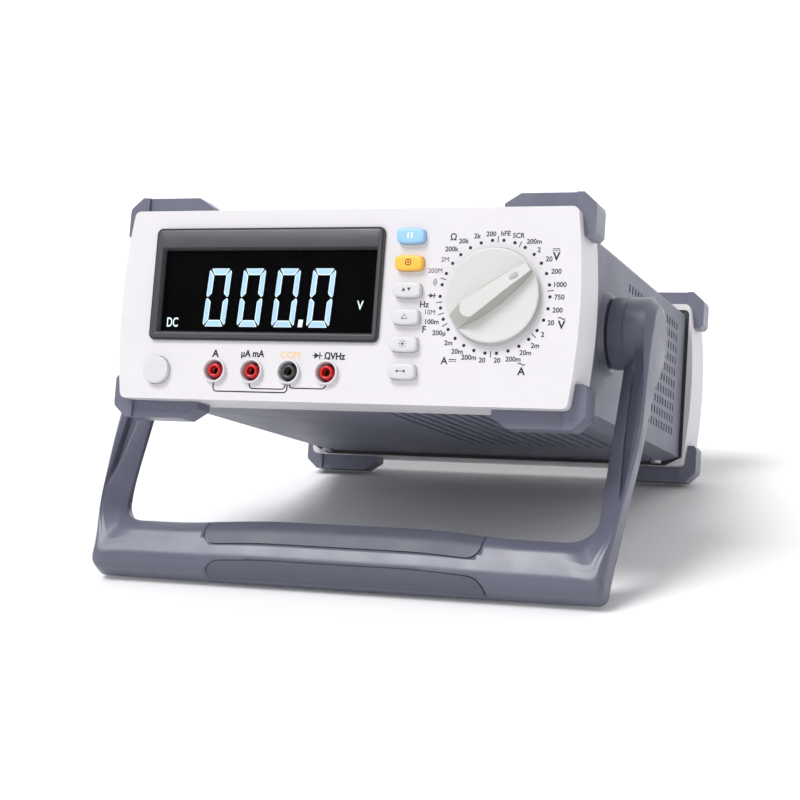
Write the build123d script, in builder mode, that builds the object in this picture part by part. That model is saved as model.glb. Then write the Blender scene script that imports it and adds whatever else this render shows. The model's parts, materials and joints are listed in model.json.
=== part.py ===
from build123d import *
from math import atan2, cos, degrees, radians, sin
import os

# Bench multimeter standing on its turned-down carrying handle.
#
# The instrument is described in its own level "case frame": X to the right, Y from the front face
# backwards, Z up, with the origin at the centre of the front face. The handle is described hanging
# straight down from its pivot. STAND and HANDLE put both into the frame of the part, where the
# handle's crossbar and the two lower rear bumpers stand on Z = 0. All lengths are millimetres.

# ------------------------------------------------------------------ driving dimensions
PANEL_W = 228.0          # front and rear bezel, width at mid height
PANEL_H = 90.7           # bezel height
PANEL_BULGE = 3.5        # the bezel's sides bow outwards by this much
FRONT_DEPTH = 31.0       # front bezel, front to back
CASE_DEPTH = 267.0       # front face to rear face
REAR_START = 237.0       # where the rear bezel begins
WALL = 2.5               # plastic wall
FACE_WALL = 3.0          # wall behind the front face
SLEEVE_W = 217.4         # metal sleeve between the bezels
SLEEVE_TOP = 40.1
SLEEVE_SPLIT = -40.6     # joint between top cover and bottom cover
SLEEVE_BOTTOM = -43.5
SLEEVE_TUCK = 2.0        # how far the sleeve reaches into each bezel
BUMPER_HALF_W = 117.2
BUMPER_HALF_H = 53.6
BUMPER_BEVEL = 1.7
FRONT_BUMPER = (7.0, 24.0)       # first and last depth of the front bumpers
REAR_BUMPER = (242.3, 257.0)
FIT = 0.15               # gap between pieces that only sit in each other

DISPLAY_AT = (-38.5, 9.6)
DISPLAY_SIZE = (116.2, 52.6)
WINDOW_AT = (-37.85, 6.55)
WINDOW_SIZE = (108.5, 38.9)
KEY_X = 33.2
KEY_TOP_Z = 31.85
KEY_PITCH = 12.48
KEY_SIZE = (13.3, 7.0)
KEY_PROUD = 2.5
KEY_TRAVEL = 1.2
POWER_AT = (-91.6, -31.8)
POWER_R = 6.75
POWER_PROUD = 1.3
JACK_PITCH = 19.0
JACK_FIRST_X = -61.13
JACK_Z = -31.5
JACK_BORE_R = 2.0
DIAL_AT = (74.2, 4.4)
DIAL_R = 21.6
DIAL_TURN = 54.0         # degrees clockwise from straight up
SHAFT_R = 3.0
RUNNING = 0.05           # radial play of a turning fit
BOARD_Y = 14.0           # front circuit board
BOARD_T = 1.6
MAIN_BOARD_Z = -33.0

PIVOT_Y = 72.0           # handle pivot, at mid height
HUB_R = 17.4
HUB_INNER_X = 111.6
ARM_INNER_X = 119.2
ARM_OUTER_X = 134.0
CROSSBAR_TOP = -110.9    # handle frame, down from the pivot
CROSSBAR_BOTTOM = -137.4
CROSSBAR_NOSE = -135.5
CROSSBAR_FRONT = -10.0
CROSSBAR_BACK = 6.0
AXLE_R = 7.0
HANDLE_LEAN = 21.0       # degrees forward of straight down

# ------------------------------------------------------------------ where everything stands
lean = radians(HANDLE_LEAN)
heel_y = PIVOT_Y + CROSSBAR_BOTTOM * sin(lean) + CROSSBAR_BACK * cos(lean)
heel_z = CROSSBAR_BOTTOM * cos(lean) - CROSSBAR_BACK * sin(lean)
foot_y = REAR_BUMPER[1]
foot_z = -BUMPER_HALF_H
tilt = atan2(foot_z - heel_z, foot_y - heel_y)
floor_drop = foot_z * cos(tilt) - foot_y * sin(tilt)
nose_y = PIVOT_Y + CROSSBAR_NOSE * sin(lean) + CROSSBAR_FRONT * cos(lean)
nose_z = CROSSBAR_NOSE * cos(lean) - CROSSBAR_FRONT * sin(lean)
front_most = nose_y * cos(tilt) + nose_z * sin(tilt)
rear_most = CASE_DEPTH * cos(tilt) + PANEL_H / 2 * sin(tilt)
middle = (front_most + rear_most) / 2
STAND = Location((0, -middle, -floor_drop), (-degrees(tilt), 0, 0))
HANDLE = STAND * Location((0, PIVOT_Y, 0), (-HANDLE_LEAN, 0, 0))


def placed(frame, origin, x_dir, z_dir):
    """Plane given in a frame, brought into the frame of the part."""
    return Plane(frame * Plane(origin=origin, x_dir=x_dir, z_dir=z_dir).location)


def face(depth, frame=STAND):
    """Plane parallel to the front face: local x right, local y up, normal to the front."""
    return placed(frame, (0, depth, 0), (1, 0, 0), (0, -1, 0))


def flank(x, frame=STAND):
    """Plane across the width at x: local x backwards, local y up, normal to the right."""
    return placed(frame, (x, 0, 0), (0, 1, 0), (1, 0, 0))


def deck(z, frame=STAND):
    """Level plane at height z: local x right, local y backwards, normal up."""
    return placed(frame, (0, 0, z), (1, 0, 0), (0, 0, 1))


def save(piece, label):
    """Label a finished piece and write it as its own STEP file."""
    piece.part.label = label
    export_step(piece.part, f"parts/{label}.step")


def panel_outline(grow=0.0):
    """Outline of a bezel: flat top and bottom, bowed sides, rounded corners."""
    half_w = PANEL_W / 2 + grow
    half_h = PANEL_H / 2 + grow
    corner_x = half_w - PANEL_BULGE
    with BuildLine() as edge:
        Line((-corner_x, half_h), (corner_x, half_h))
        ThreePointArc((corner_x, half_h), (half_w, 0), (corner_x, -half_h))
        Line((corner_x, -half_h), (-corner_x, -half_h))
        ThreePointArc((-corner_x, -half_h), (-half_w, 0), (-corner_x, half_h))
    made = make_face(edge.line)
    fillet(made.vertices(), 3.0)


def sleeve_outline(grow=0.0):
    """Outline of the sleeve with its shallow facets under both sides."""
    half = SLEEVE_W / 2 + grow
    foot = half - 9.2
    with BuildLine() as edge:
        Polyline(
            (half, SLEEVE_SPLIT),
            (half, SLEEVE_TOP + grow),
            (-half, SLEEVE_TOP + grow),
            (-half, SLEEVE_SPLIT),
            (-foot, SLEEVE_BOTTOM - grow),
            (foot, SLEEVE_BOTTOM - grow),
            close=True,
        )
    made = make_face(edge.line)
    fillet(made.vertices().group_by(Axis.Y)[-1], 3.0)


def key_outline(grow=0.0):
    """Key cap outline: upright sides, slightly arched top and bottom."""
    half_w = KEY_SIZE[0] / 2 + grow
    half_h = KEY_SIZE[1] / 2 + grow
    shoulder = half_h - 0.7
    with BuildLine() as edge:
        ThreePointArc((-half_w, shoulder), (0, half_h), (half_w, shoulder))
        Line((half_w, shoulder), (half_w, -shoulder))
        ThreePointArc((half_w, -shoulder), (0, -half_h), (-half_w, -shoulder))
        Line((-half_w, -shoulder), (-half_w, shoulder))
    made = make_face(edge.line)
    fillet(made.vertices(), 1.6)


def key_height(index):
    return KEY_TOP_Z - KEY_PITCH * index


def key_plane(index, depth):
    """Plane at this depth with its origin on the centre of a key."""
    base = face(depth)
    return base.shift_origin(base.from_local_coords((KEY_X, key_height(index))))


def jack_places():
    return [(JACK_FIRST_X + JACK_PITCH * i, JACK_Z) for i in range(4)]


os.makedirs("parts", exist_ok=True)

# ------------------------------------------------------------------ casing
FRONT_BEVEL = 2.0        # depth of the bevel round the front face
FRONT_BEVEL_TAPER = 61.0  # degrees from straight ahead

with BuildPart() as front_bezel:
    with BuildSketch(face(FRONT_BEVEL)) as rim:
        panel_outline()
    extrude(amount=-(FRONT_DEPTH - FRONT_BEVEL))
    extrude(rim.sketch, amount=FRONT_BEVEL, taper=FRONT_BEVEL_TAPER)
    with BuildSketch(face(FACE_WALL)):
        panel_outline(-FACE_WALL)
    extrude(amount=-(FRONT_DEPTH - FACE_WALL - WALL), mode=Mode.SUBTRACT)
    with BuildSketch(face(FRONT_DEPTH - WALL)):
        sleeve_outline(FIT)
    extrude(amount=-WALL, mode=Mode.SUBTRACT)
    with BuildSketch(face(0)):
        with Locations(DISPLAY_AT):
            RectangleRounded(DISPLAY_SIZE[0] + 0.8, DISPLAY_SIZE[1] + 0.8, 2.4)
        with Locations(POWER_AT):
            Circle(POWER_R + 0.35)
        with Locations(DIAL_AT):
            Circle(SHAFT_R + 1.0)
        with Locations(*jack_places()):
            Circle(5.0 + FIT)
    extrude(amount=-FACE_WALL, mode=Mode.SUBTRACT)
    for i in range(6):
        with BuildSketch(key_plane(i, 0)):
            key_outline(0.4)
        extrude(amount=-FACE_WALL, mode=Mode.SUBTRACT)
save(front_bezel, "front_bezel")

LEDGE_Y = 257.0          # ledge that carries the rear panel
PANEL_SEAT_Y = 261.0

with BuildPart() as rear_bezel:
    with BuildSketch(face(REAR_START)):
        panel_outline()
    extrude(amount=-(CASE_DEPTH - REAR_START))
    with BuildSketch(face(REAR_START)):
        sleeve_outline(FIT)
    extrude(amount=-WALL, mode=Mode.SUBTRACT)
    with BuildSketch(face(REAR_START + WALL)):
        panel_outline(-WALL)
    extrude(amount=-(LEDGE_Y - REAR_START - WALL), mode=Mode.SUBTRACT)
    with BuildSketch(face(LEDGE_Y)):
        panel_outline(-12.0)
    extrude(amount=-(PANEL_SEAT_Y - LEDGE_Y), mode=Mode.SUBTRACT)
    with BuildSketch(face(PANEL_SEAT_Y)):
        panel_outline(-3.0)
    extrude(amount=-(CASE_DEPTH - PANEL_SEAT_Y), mode=Mode.SUBTRACT)
    with BuildSketch(face(PANEL_SEAT_Y)):
        with GridLocations(210.0, 60.0, 2, 2):
            Circle(1.5)
    extrude(amount=PANEL_SEAT_Y - LEDGE_Y, mode=Mode.SUBTRACT)
save(rear_bezel, "rear_bezel")

SLEEVE_START = FRONT_DEPTH - SLEEVE_TUCK
SLEEVE_END = REAR_START + SLEEVE_TUCK
COLUMN_X = 98.0          # screw columns that hang from the top cover
COLUMN_DEPTHS = (40.0, 229.0)
VENT_AT = (162.5, 0.25)
SLOT_FIRST_X = 10.0
SLOT_COUNT = 13


def column_places():
    return [(side * COLUMN_X, depth) for side in (-1, 1) for depth in COLUMN_DEPTHS]


with BuildPart() as top_cover:
    with BuildSketch(face(SLEEVE_START)):
        sleeve_outline()
        offset(amount=-WALL, kind=Kind.INTERSECTION, mode=Mode.SUBTRACT)
    extrude(amount=-(SLEEVE_END - SLEEVE_START))
    with BuildSketch(deck(SLEEVE_SPLIT)):
        with Locations((0, CASE_DEPTH / 2)):
            Rectangle(2 * PANEL_W, 2 * CASE_DEPTH)
    extrude(amount=-20.0, mode=Mode.SUBTRACT)
    with BuildSketch(deck(SLEEVE_SPLIT)):
        with Locations((0, CASE_DEPTH / 2)):
            Rectangle(SLEEVE_W - 2 * WALL, 2 * CASE_DEPTH)
    extrude(amount=6.0, mode=Mode.SUBTRACT)
    with BuildSketch(flank(SLEEVE_W / 2)):
        with Locations(VENT_AT):
            with GridLocations(6.0, 6.4, 19, 10):
                Rectangle(2.5, 4.0)
        with Locations((PIVOT_Y, 0)):
            Circle(AXLE_R)
    extrude(amount=-SLEEVE_W, mode=Mode.SUBTRACT)
    with BuildSketch(deck(SLEEVE_TOP - WALL)):
        with Locations(*column_places()):
            Circle(4.0)
            Circle(1.5, mode=Mode.SUBTRACT)
    extrude(amount=SLEEVE_SPLIT - SLEEVE_TOP + WALL)
save(top_cover, "top_cover")

POST_PLACES = [(x, y) for x in (-90.0, 30.0) for y in (40.0, 140.0, 240.0)]

with BuildPart() as bottom_cover:
    with BuildSketch(face(SLEEVE_START)) as floor_shape:
        sleeve_outline()
        with Locations((0, SLEEVE_SPLIT)):
            Rectangle(2 * PANEL_W, 2 * PANEL_H, align=(Align.CENTER, Align.MIN), mode=Mode.SUBTRACT)
    extrude(amount=-(SLEEVE_END - SLEEVE_START))
    with BuildSketch(deck(SLEEVE_SPLIT)):
        for side in (-1, 1):
            with Locations((side * (SLEEVE_W / 2 - WALL - 1.2), (SLEEVE_START + SLEEVE_END) / 2)):
                Rectangle(2.0, SLEEVE_END - SLEEVE_START)
    extrude(amount=6.0)
    with BuildSketch(deck(SLEEVE_SPLIT)):
        with Locations(*POST_PLACES):
            Circle(3.6)
    extrude(amount=MAIN_BOARD_Z - SLEEVE_SPLIT)
    with BuildSketch(deck(MAIN_BOARD_Z)):
        with Locations(*POST_PLACES):
            Circle(1.5)
    extrude(amount=-6.0, mode=Mode.SUBTRACT)
    with BuildSketch(deck(SLEEVE_SPLIT)):
        with Locations(*column_places()):
            Circle(1.5)
        for i in range(SLOT_COUNT):
            with Locations((SLOT_FIRST_X + 6.5 * i, 110.0)):
                SlotOverall(130.0, 2.6, rotation=90)
    extrude(amount=-8.0, mode=Mode.SUBTRACT)
save(bottom_cover, "bottom_cover")

# Corner bumpers: an L round the bezel's corner, with a block that stands proud at the corner.
STRIP = [
    (73.5, 40.0),
    (73.5, 48.8),
    (81.0, BUMPER_HALF_H),
    (110.0, BUMPER_HALF_H),
    (110.0, 40.0),
]
BLOCK = [
    (107.5, 40.0),
    (107.5, BUMPER_HALF_H),
    (111.0, BUMPER_HALF_H),
    (116.8, 48.4),
    (BUMPER_HALF_W, 46.4),
    (BUMPER_HALF_W, 35.0),
    (115.6, 33.2),
    (107.5, 33.2),
]


def bumper(label, side, up, first, last):
    """One corner bumper. side is +1 right, -1 left; up is +1 top, -1 bottom."""
    with BuildPart() as guard:
        for outline, set_back in ((STRIP, 1.5), (BLOCK, 0.0)):
            nose = first + set_back + BUMPER_BEVEL
            corners = [(side * x, up * z) for x, z in outline]
            with BuildSketch(face(nose)) as shape:
                Polygon(*corners[:: side * up], align=None)
            extrude(amount=-(last - nose))
            extrude(shape.sketch, amount=BUMPER_BEVEL, taper=45)
        with BuildSketch(face(first)):
            panel_outline(0.1)
        extrude(amount=-(last - first), mode=Mode.SUBTRACT)
    save(guard, label)


for where, (first, last) in (("front", FRONT_BUMPER), ("rear", REAR_BUMPER)):
    for level, up in (("top", 1), ("bottom", -1)):
        for hand, side in (("left", -1), ("right", 1)):
            bumper(f"bumper_{where}_{level}_{hand}", side, up, first, last)

with BuildPart() as rear_panel:
    with BuildSketch(face(PANEL_SEAT_Y)):
        panel_outline(-3.0 - FIT)
        with Locations((70.0, -12.0)):
            RectangleRounded(28.0, 20.0, 3.0, mode=Mode.SUBTRACT)
        with Locations((38.0, -12.0)):
            Circle(6.3, mode=Mode.SUBTRACT)
        with Locations((-70.0, -25.6)):
            RectangleRounded(13.0, 12.4, 0.8, mode=Mode.SUBTRACT)
        with GridLocations(210.0, 60.0, 2, 2):
            Circle(1.6, mode=Mode.SUBTRACT)
        with Locations((-20.0, 12.0)):
            with GridLocations(5.0, 8.0, 12, 3):
                SlotOverall(6.0, 2.4, rotation=90, mode=Mode.SUBTRACT)
    extrude(amount=-2.5)
save(rear_panel, "rear_panel")

# ------------------------------------------------------------------ display
SURROUND_FRONT = 0.4
SURROUND_T = 4.0

with BuildPart() as display_surround:
    with BuildSketch(face(SURROUND_FRONT)):
        with Locations(DISPLAY_AT):
            RectangleRounded(*DISPLAY_SIZE, 2.0)
        with Locations(WINDOW_AT):
            Rectangle(*WINDOW_SIZE, mode=Mode.SUBTRACT)
    extrude(amount=-SURROUND_T)
    with BuildSketch(face(SURROUND_FRONT + 1.8)):
        with Locations(WINDOW_AT):
            Rectangle(WINDOW_SIZE[0] + 2.4, WINDOW_SIZE[1] + 2.4)
    extrude(amount=-SURROUND_T, mode=Mode.SUBTRACT)
save(display_surround, "display_surround")

with BuildPart() as display_window:
    with BuildSketch(face(SURROUND_FRONT + 1.8)):
        with Locations(WINDOW_AT):
            Rectangle(WINDOW_SIZE[0] + 2.2, WINDOW_SIZE[1] + 2.2)
    extrude(amount=-1.5)
save(display_window, "display_window")

with BuildPart() as lcd_panel:
    with BuildSketch(face(4.6)):
        with Locations(WINDOW_AT):
            Rectangle(WINDOW_SIZE[0] + 1.0, WINDOW_SIZE[1] + 1.0)
    extrude(amount=-2.6)
save(lcd_panel, "lcd_panel")

with BuildPart() as backlight_panel:
    with BuildSketch(face(7.2)):
        with Locations(WINDOW_AT):
            Rectangle(WINDOW_SIZE[0] + 1.0, WINDOW_SIZE[1] + 1.0)
    extrude(amount=-3.2)
save(backlight_panel, "backlight_panel")

with BuildPart() as lcd_holder:
    with BuildSketch(face(4.6)):
        with Locations(WINDOW_AT):
            RectangleRounded(WINDOW_SIZE[0] + 5.5, WINDOW_SIZE[1] + 5.5, 1.5)
            Rectangle(WINDOW_SIZE[0] + 1.2, WINDOW_SIZE[1] + 1.2, mode=Mode.SUBTRACT)
    extrude(amount=-(BOARD_Y - 4.6))
save(lcd_holder, "lcd_holder")

# ------------------------------------------------------------------ keys and power button
KEY_NAMES = ("hold", "select", "max_min", "relative", "light", "link")


for i, name in enumerate(KEY_NAMES):
    with BuildPart() as key:
        with BuildSketch(key_plane(i, -KEY_PROUD)):
            key_outline()
        extrude(amount=-(KEY_PROUD + FACE_WALL + 0.3))
        with BuildSketch(key_plane(i, FACE_WALL + 0.2)):
            Rectangle(15.4, 9.4)
        extrude(amount=-1.2)
        with BuildSketch(key_plane(i, FACE_WALL + 1.4)):
            Rectangle(4.0, 4.0)
        extrude(amount=-4.4)
    save(key, f"key_{name}")

with BuildPart() as key_switches:
    for i in range(6):
        with BuildSketch(key_plane(i, BOARD_Y)):
            Rectangle(6.0, 6.0)
        extrude(amount=3.4)
        with BuildSketch(key_plane(i, BOARD_Y - 3.4)):
            Circle(1.7)
        extrude(amount=0.3)
save(key_switches, "key_switches")

with BuildPart() as power_button:
    with BuildSketch(face(-POWER_PROUD)):
        with Locations(POWER_AT):
            Circle(POWER_R)
    extrude(amount=-(POWER_PROUD + FACE_WALL + 0.3))
    with BuildSketch(face(FACE_WALL + 0.2)):
        with Locations(POWER_AT):
            Circle(POWER_R + 1.4)
    extrude(amount=-1.4)
    with BuildSketch(face(FACE_WALL + 1.6)):
        with Locations(POWER_AT):
            Circle(2.4)
    extrude(amount=-1.8)
save(power_button, "power_button")

with BuildPart() as power_switch:
    with BuildSketch(face(BOARD_Y)):
        with Locations(POWER_AT):
            Rectangle(9.0, 9.0)
    extrude(amount=3.6)
    with BuildSketch(face(BOARD_Y - 3.6)):
        with Locations(POWER_AT):
            Circle(2.0)
    extrude(amount=0.6)
save(power_switch, "power_switch")

# ------------------------------------------------------------------ input jacks
WELL_LIP = 0.3
WELL_R = 4.6
FLANGE_Y = 8.0
TUBE_Y = 0.5
TUBE_R = 3.1
CONTACT_R = 2.4
JACK_LENGTH = 22.8

with BuildPart() as jack_wells:
    with BuildSketch(face(-WELL_LIP)):
        with Locations(*jack_places()):
            Circle(5.8)
            Circle(WELL_R, mode=Mode.SUBTRACT)
    extrude(amount=-WELL_LIP)
    with BuildSketch(face(0)):
        with Locations(*jack_places()):
            Circle(5.0)
            Circle(WELL_R, mode=Mode.SUBTRACT)
    extrude(amount=-JACK_LENGTH)
save(jack_wells, "jack_wells")


def jack_sleeve(label, places):
    """Coloured jack bodies: a tube round the contact, standing on a flange deep in the well."""
    with BuildPart() as sleeve:
        with BuildSketch(face(TUBE_Y)):
            with Locations(*places):
                Circle(TUBE_R)
                Circle(CONTACT_R, mode=Mode.SUBTRACT)
        extrude(amount=-(JACK_LENGTH - TUBE_Y))
        with BuildSketch(face(FLANGE_Y)):
            with Locations(*places):
                Circle(WELL_R)
                Circle(CONTACT_R, mode=Mode.SUBTRACT)
        extrude(amount=-(JACK_LENGTH - FLANGE_Y))
    save(sleeve, label)


red_places = [place for i, place in enumerate(jack_places()) if i != 2]
jack_sleeve("jack_sleeves_red", red_places)
jack_sleeve("jack_sleeve_black", [jack_places()[2]])

with BuildPart() as jack_contacts:
    with BuildSketch(face(1.0)):
        with Locations(*jack_places()):
            Circle(CONTACT_R)
    extrude(amount=-23.0)
    with BuildSketch(face(1.0)):
        with Locations(*jack_places()):
            Circle(JACK_BORE_R)
    extrude(amount=-20.0, mode=Mode.SUBTRACT)
save(jack_contacts, "jack_contacts")

# ------------------------------------------------------------------ range dial
DIAL_BACK = -0.6         # running gap between dial and panel
DIAL_PLATE = -2.4        # front of the round plate
GRIP_BAR = 4.6           # height of the wing-shaped grip above the plate

with BuildPart() as range_dial:
    with BuildSketch(face(DIAL_BACK)):
        with Locations(DIAL_AT):
            Circle(DIAL_R)
    extrude(amount=DIAL_BACK - DIAL_PLATE)
    with BuildSketch(face(DIAL_PLATE)):
        with Locations(DIAL_AT):
            Polygon((-6.6, -19.6), (6.6, -19.6), (4.4, 20.4), (-4.4, 20.4), rotation=-DIAL_TURN,
                    align=None)
    extrude(amount=GRIP_BAR, taper=28)
    with BuildSketch(face(DIAL_BACK)):
        with Locations(DIAL_AT):
            Circle(SHAFT_R)
    extrude(amount=4.4, mode=Mode.SUBTRACT)
save(range_dial, "range_dial")

with BuildPart() as switch_rotor:
    with BuildSketch(face(DIAL_BACK - 4.4)):
        with Locations(DIAL_AT):
            Circle(SHAFT_R)
    extrude(amount=-17.0)
    with BuildSketch(face(9.0)):
        with Locations(DIAL_AT):
            Circle(15.0)
    extrude(amount=-2.0)
save(switch_rotor, "switch_rotor")

with BuildPart() as range_switch:
    with BuildSketch(face(6.0)):
        with Locations(DIAL_AT):
            Circle(19.0)
    extrude(amount=-(BOARD_Y - 6.0))
    with BuildSketch(face(7.5)):
        with Locations(DIAL_AT):
            Circle(16.0)
    extrude(amount=-5.0, mode=Mode.SUBTRACT)
    with BuildSketch(face(6.0)):
        with Locations(DIAL_AT):
            Circle(SHAFT_R + RUNNING)
    extrude(amount=-1.5, mode=Mode.SUBTRACT)
save(range_switch, "range_switch")

# ------------------------------------------------------------------ circuit boards
with BuildPart() as front_board:
    with BuildSketch(face(BOARD_Y)):
        Rectangle(208.0, 78.0)
        with Locations(*jack_places()):
            Circle(5.0 + FIT, mode=Mode.SUBTRACT)
    extrude(amount=-BOARD_T)
save(front_board, "front_board")

with BuildPart() as main_board:
    with BuildSketch(deck(MAIN_BOARD_Z)):
        with Locations((-28.0, 141.0)):
            Rectangle(130.0, 218.0)
        with Locations(*POST_PLACES):
            Circle(1.6, mode=Mode.SUBTRACT)
    extrude(amount=BOARD_T)
save(main_board, "main_board")

MAIN_BOARD_TOP = MAIN_BOARD_Z + BOARD_T

with BuildPart() as board_connector:
    with BuildSketch(face(BOARD_Y + BOARD_T)):
        with Locations((14.0, MAIN_BOARD_TOP)):
            Rectangle(20.0, 7.5, align=(Align.CENTER, Align.MIN))
    extrude(amount=-22.0)
save(board_connector, "board_connector")

with BuildPart() as board_screws:
    with BuildSketch(deck(MAIN_BOARD_TOP)):
        with Locations(*POST_PLACES):
            Circle(2.9)
    extrude(amount=2.0)
    with BuildSketch(deck(MAIN_BOARD_TOP)):
        with Locations(*POST_PLACES):
            Circle(1.5)
    extrude(amount=-7.0)
save(board_screws, "board_screws")

FUSE_XS = (-84.0, -66.0)
FUSE_Z = MAIN_BOARD_TOP + 5.5
FUSE_R = 3.2

with BuildPart() as current_fuses:
    with BuildSketch(face(60.0)):
        with Locations(*[(x, FUSE_Z) for x in FUSE_XS]):
            Circle(FUSE_R)
    extrude(amount=-32.0)
save(current_fuses, "current_fuses")

with BuildPart() as fuse_clips:
    for depth in (62.0, 85.0):
        with BuildSketch(face(depth)):
            with Locations(*[(x, MAIN_BOARD_TOP) for x in FUSE_XS]):
                Rectangle(8.4, 8.0, align=(Align.CENTER, Align.MIN))
            with Locations(*[(x, FUSE_Z) for x in FUSE_XS]):
                Circle(FUSE_R, mode=Mode.SUBTRACT)
        extrude(amount=-5.0)
save(fuse_clips, "fuse_clips")

with BuildPart() as buzzer:
    with BuildSketch(deck(MAIN_BOARD_TOP)):
        with Locations((-20.0, 90.0)):
            Circle(6.0)
            Circle(1.0, mode=Mode.SUBTRACT)
    extrude(amount=6.0)
save(buzzer, "buzzer")

# ------------------------------------------------------------------ mains side
CORE_AT = (66.0, 182.0)
LEG = (16.0, 14.0)

with BuildPart() as transformer_core:
    with BuildSketch(face(CORE_AT[1] - 22.0)):
        with Locations((CORE_AT[0], SLEEVE_SPLIT)):
            Rectangle(52.0, 46.0, align=(Align.CENTER, Align.MIN))
        with Locations((CORE_AT[0], SLEEVE_SPLIT + 23.0)):
            Rectangle(34.0, 30.0, mode=Mode.SUBTRACT)
            Rectangle(*LEG)
    extrude(amount=-44.0)
    with BuildSketch(face(CORE_AT[1] - 22.0)):
        with Locations((CORE_AT[0], SLEEVE_SPLIT + 23.0)):
            Rectangle(LEG[0], 30.0)
    extrude(amount=-44.0)
save(transformer_core, "transformer_core")

with BuildPart() as transformer_winding:
    for side in (-1, 1):
        with BuildSketch(face(CORE_AT[1] - 32.0)):
            with Locations((CORE_AT[0] + side * 12.5, SLEEVE_SPLIT + 23.0)):
                Rectangle(9.0, 30.0)
        extrude(amount=-64.0)
    for depth in (CORE_AT[1] - 32.0, CORE_AT[1] + 22.0):
        with BuildSketch(face(depth)):
            with Locations((CORE_AT[0], SLEEVE_SPLIT + 23.0)):
                Rectangle(LEG[0], 30.0)
        extrude(amount=-10.0)
save(transformer_winding, "transformer_winding")

INLET_AT = (70.0, -12.0)
PANEL_BACK = PANEL_SEAT_Y + 2.5

with BuildPart() as mains_inlet:
    with BuildSketch(face(PANEL_BACK)):
        with Locations(INLET_AT):
            RectangleRounded(27.6, 19.6, 2.8)
    extrude(amount=20.0)
    with BuildSketch(face(PANEL_BACK)):
        with Locations(INLET_AT):
            RectangleRounded(33.0, 25.0, 2.0)
    extrude(amount=-2.0)
    with BuildSketch(face(PANEL_BACK + 2.0)):
        with Locations(INLET_AT):
            RectangleRounded(24.4, 16.4, 2.0)
    extrude(amount=17.0, mode=Mode.SUBTRACT)
save(mains_inlet, "mains_inlet")

with BuildPart() as inlet_pins:
    with BuildSketch(face(PANEL_BACK - 3.0)):
        for x, z in ((-7.0, -2.0), (0.0, 2.0), (7.0, -2.0)):
            with Locations((INLET_AT[0] + x, INLET_AT[1] + z)):
                Rectangle(2.0, 4.0)
    extrude(amount=12.0)
save(inlet_pins, "inlet_pins")

FUSE_HOLDER_AT = (38.0, -12.0)

with BuildPart() as fuse_holder:
    with BuildSketch(face(PANEL_BACK)):
        with Locations(FUSE_HOLDER_AT):
            Circle(6.3 - FIT)
    extrude(amount=30.0)
    with BuildSketch(face(PANEL_BACK)):
        with Locations(FUSE_HOLDER_AT):
            Circle(8.0)
    extrude(amount=-2.6)
    with BuildSketch(face(PANEL_BACK - 2.0)):
        with Locations(FUSE_HOLDER_AT):
            Circle(2.9)
    extrude(amount=24.0, mode=Mode.SUBTRACT)
    with BuildSketch(face(PANEL_BACK + 2.6)):
        with Locations(FUSE_HOLDER_AT):
            Rectangle(11.0, 1.6)
    extrude(amount=1.2, mode=Mode.SUBTRACT)
save(fuse_holder, "fuse_holder")

with BuildPart() as mains_fuse:
    with BuildSketch(face(PANEL_BACK - 4.0)):
        with Locations(FUSE_HOLDER_AT):
            Circle(2.6)
    extrude(amount=20.0)
save(mains_fuse, "mains_fuse")

with BuildPart() as usb_socket:
    with BuildSketch(face(PANEL_BACK + 0.5)):
        with Locations((-70.0, MAIN_BOARD_TOP)):
            Rectangle(12.0, 11.6, align=(Align.CENTER, Align.MIN))
    extrude(amount=17.0)
    with BuildSketch(face(PANEL_BACK + 0.5)):
        with Locations((-70.0, MAIN_BOARD_TOP + 5.8)):
            RectangleRounded(8.6, 7.9, 0.6)
            Rectangle(5.6, 3.0, mode=Mode.SUBTRACT)
    extrude(amount=12.0, mode=Mode.SUBTRACT)
save(usb_socket, "usb_socket")

# ------------------------------------------------------------------ fasteners
with BuildPart() as cover_screws:
    with BuildSketch(deck(SLEEVE_BOTTOM)):
        with Locations(*column_places()):
            Circle(3.0)
    extrude(amount=-1.6)
    with BuildSketch(deck(SLEEVE_BOTTOM)):
        with Locations(*column_places()):
            Circle(1.5)
    extrude(amount=16.0)
save(cover_screws, "cover_screws")

with BuildPart() as rear_screws:
    with BuildSketch(face(PANEL_BACK)):
        with GridLocations(210.0, 60.0, 2, 2):
            Circle(2.9)
    extrude(amount=-1.8)
    with BuildSketch(face(PANEL_BACK)):
        with GridLocations(210.0, 60.0, 2, 2):
            Circle(1.5)
    extrude(amount=6.0)
save(rear_screws, "rear_screws")

# ------------------------------------------------------------------ handle
PAD_HALF = 67.0          # grip pads reach this far to both sides
PAD_DEPTH = 2.6
UPPER_PAD = (-121.4, -108.0)
LOWER_PAD = (-138.0, -130.2)
ARM_BACK = 3.0           # rear face of the arms below the hub
ARM_HIGH = HUB_R + 1.0
ARM_LOW = CROSSBAR_BOTTOM - 0.5
HEEL_X = 128.2           # outer face where the arm meets the crossbar's lower corner
CROOK_R = 13.0           # inner corner between arm and crossbar
CROOK_Z = CROSSBAR_TOP + CROOK_R

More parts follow.
